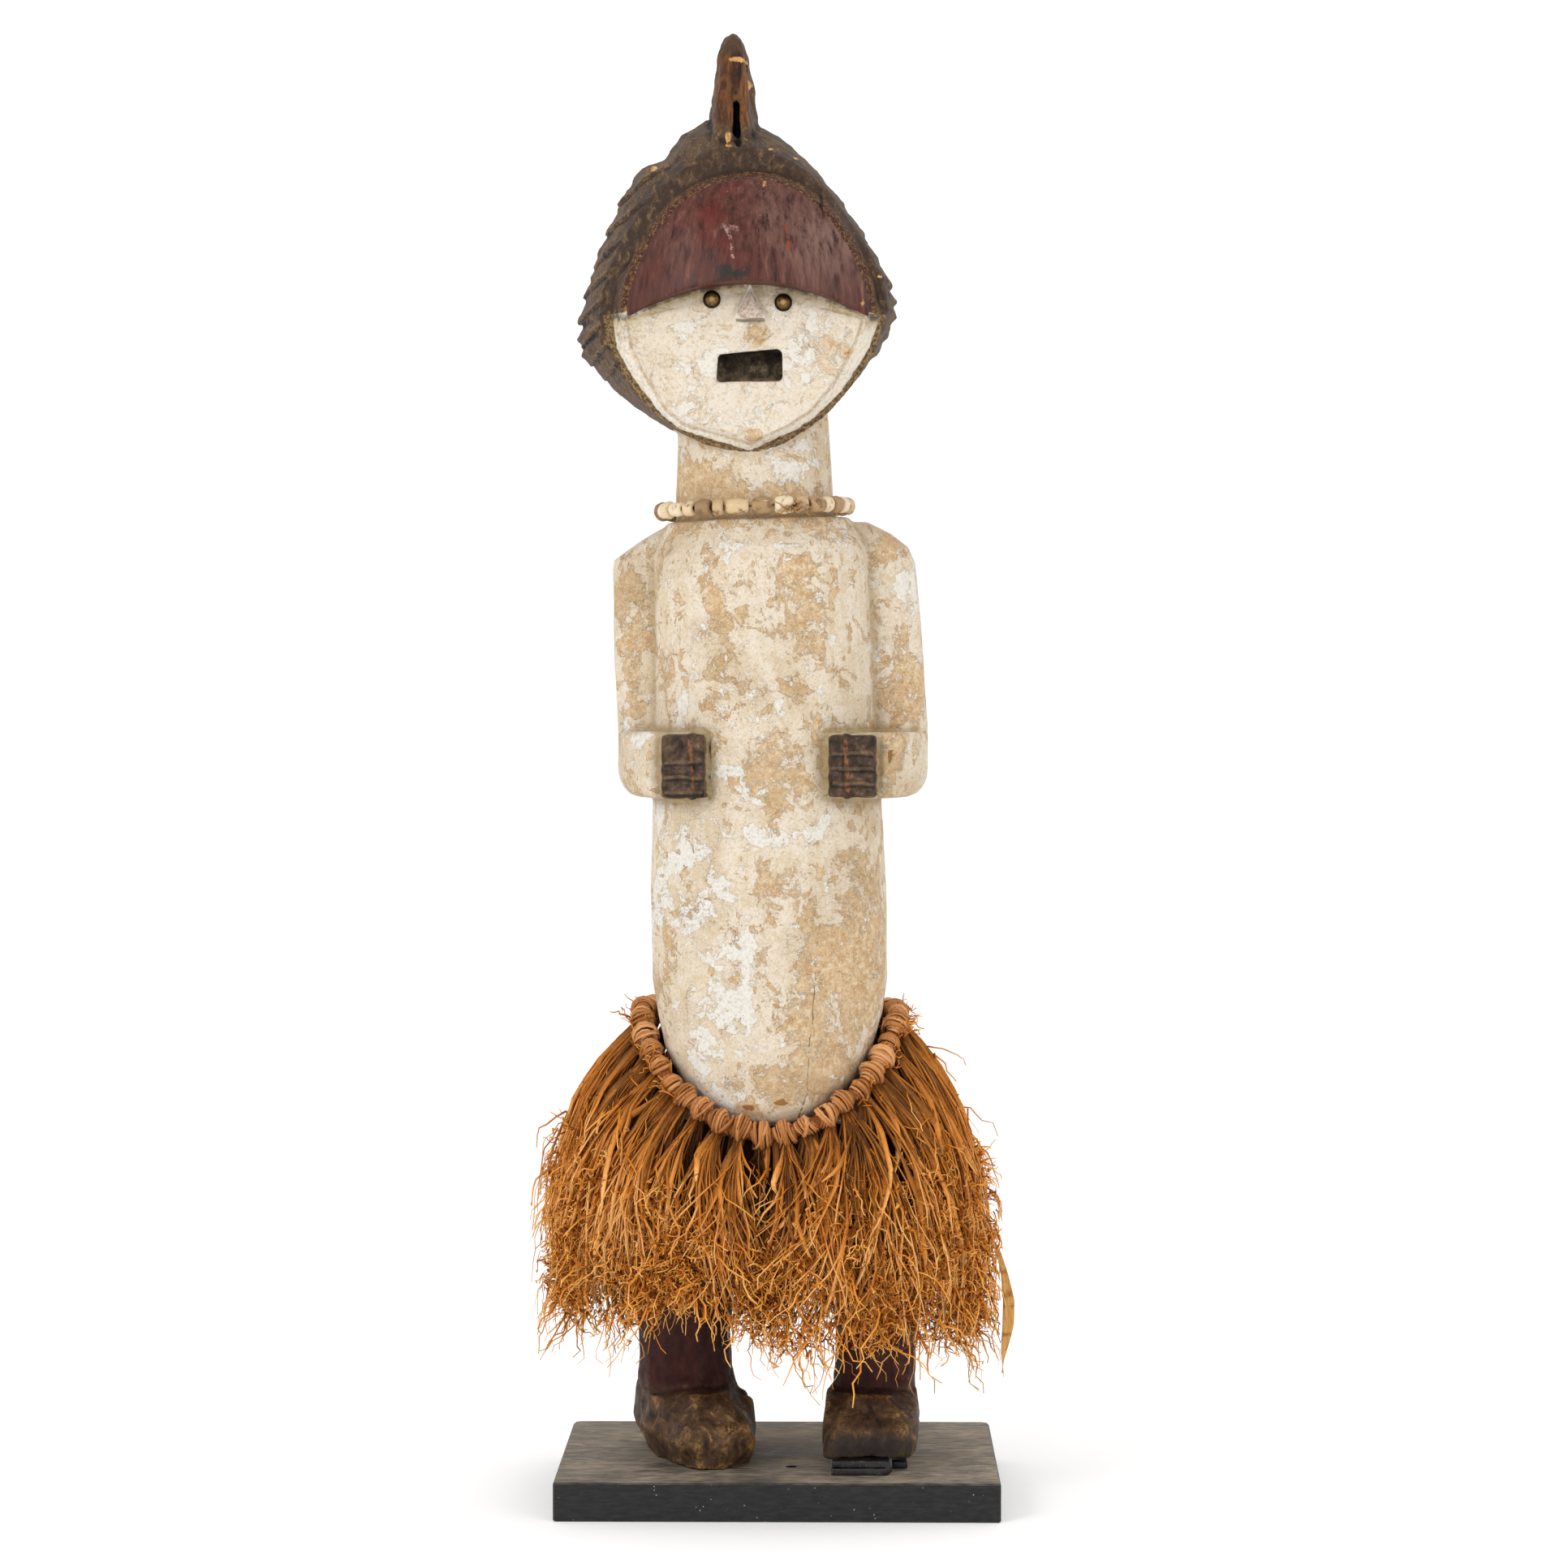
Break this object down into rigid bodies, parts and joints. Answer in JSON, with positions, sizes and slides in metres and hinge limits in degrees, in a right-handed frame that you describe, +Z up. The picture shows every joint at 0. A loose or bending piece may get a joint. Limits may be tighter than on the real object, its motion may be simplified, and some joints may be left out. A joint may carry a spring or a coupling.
{
  "type": "reliquary figure",
  "caption": "Standing carved wooden reliquary figure with crested coiffure, bead necklace and raffia skirt on a black board plinth.",
  "frame": {"origin": "centre of the plinth board's underside, on the surface the part stands on", "axes": "+Z up, the figure faces -Y, +X to the right of someone facing it"},
  "size_m": [0.2859, 0.2217, 0.9333],
  "materials": {
    "painted_wood": "flaking kaolin paint over wood, dark painted coiffure, hands and legs, red-brown brow",
    "brass": "tarnished",
    "bone": "worn bone and shell",
    "fibre_cord": "twisted fibre",
    "raffia_knots": "matte knotted raffia",
    "raffia": "matte frayed raffia",
    "black_board": "dusty black paint",
    "leather": "black, worn"
  },
  "bodies": {
    "root": {"bead_01": "bone", "bead_02": "bone", "bead_03": "bone", "bead_04": "bone", "bead_05": "bone", "bead_06": "bone", "bead_07": "bone", "bead_08": "bone", "bead_09": "bone", "bead_10": "bone", "bead_11": "bone", "bead_12": "bone", "bead_13": "bone", "bead_14": "bone", "bead_15": "bone", "bead_16": "bone", "bead_17": "bone", "bead_18": "bone", "bead_19": "bone", "bead_20": "bone", "bead_21": "bone", "bead_22": "bone", "bead_23": "bone", "bead_24": "bone", "bead_25": "bone", "bead_26": "bone", "bead_27": "bone", "bead_28": "bone", "bead_29": "bone", "bead_30": "bone", "bead_31": "bone", "bead_32": "bone", "bead_33": "bone", "bead_34": "bone", "carved_figure": "painted_wood", "eye_tack_left": "brass", "eye_tack_right": "brass", "leather_shim": "leather", "leather_slip": "leather", "necklace_string": "fibre_cord", "plinth_board": "black_board", "raffia_skirt": "raffia", "skirt_waistband": "raffia_knots"}
  },
  "joints": []
}
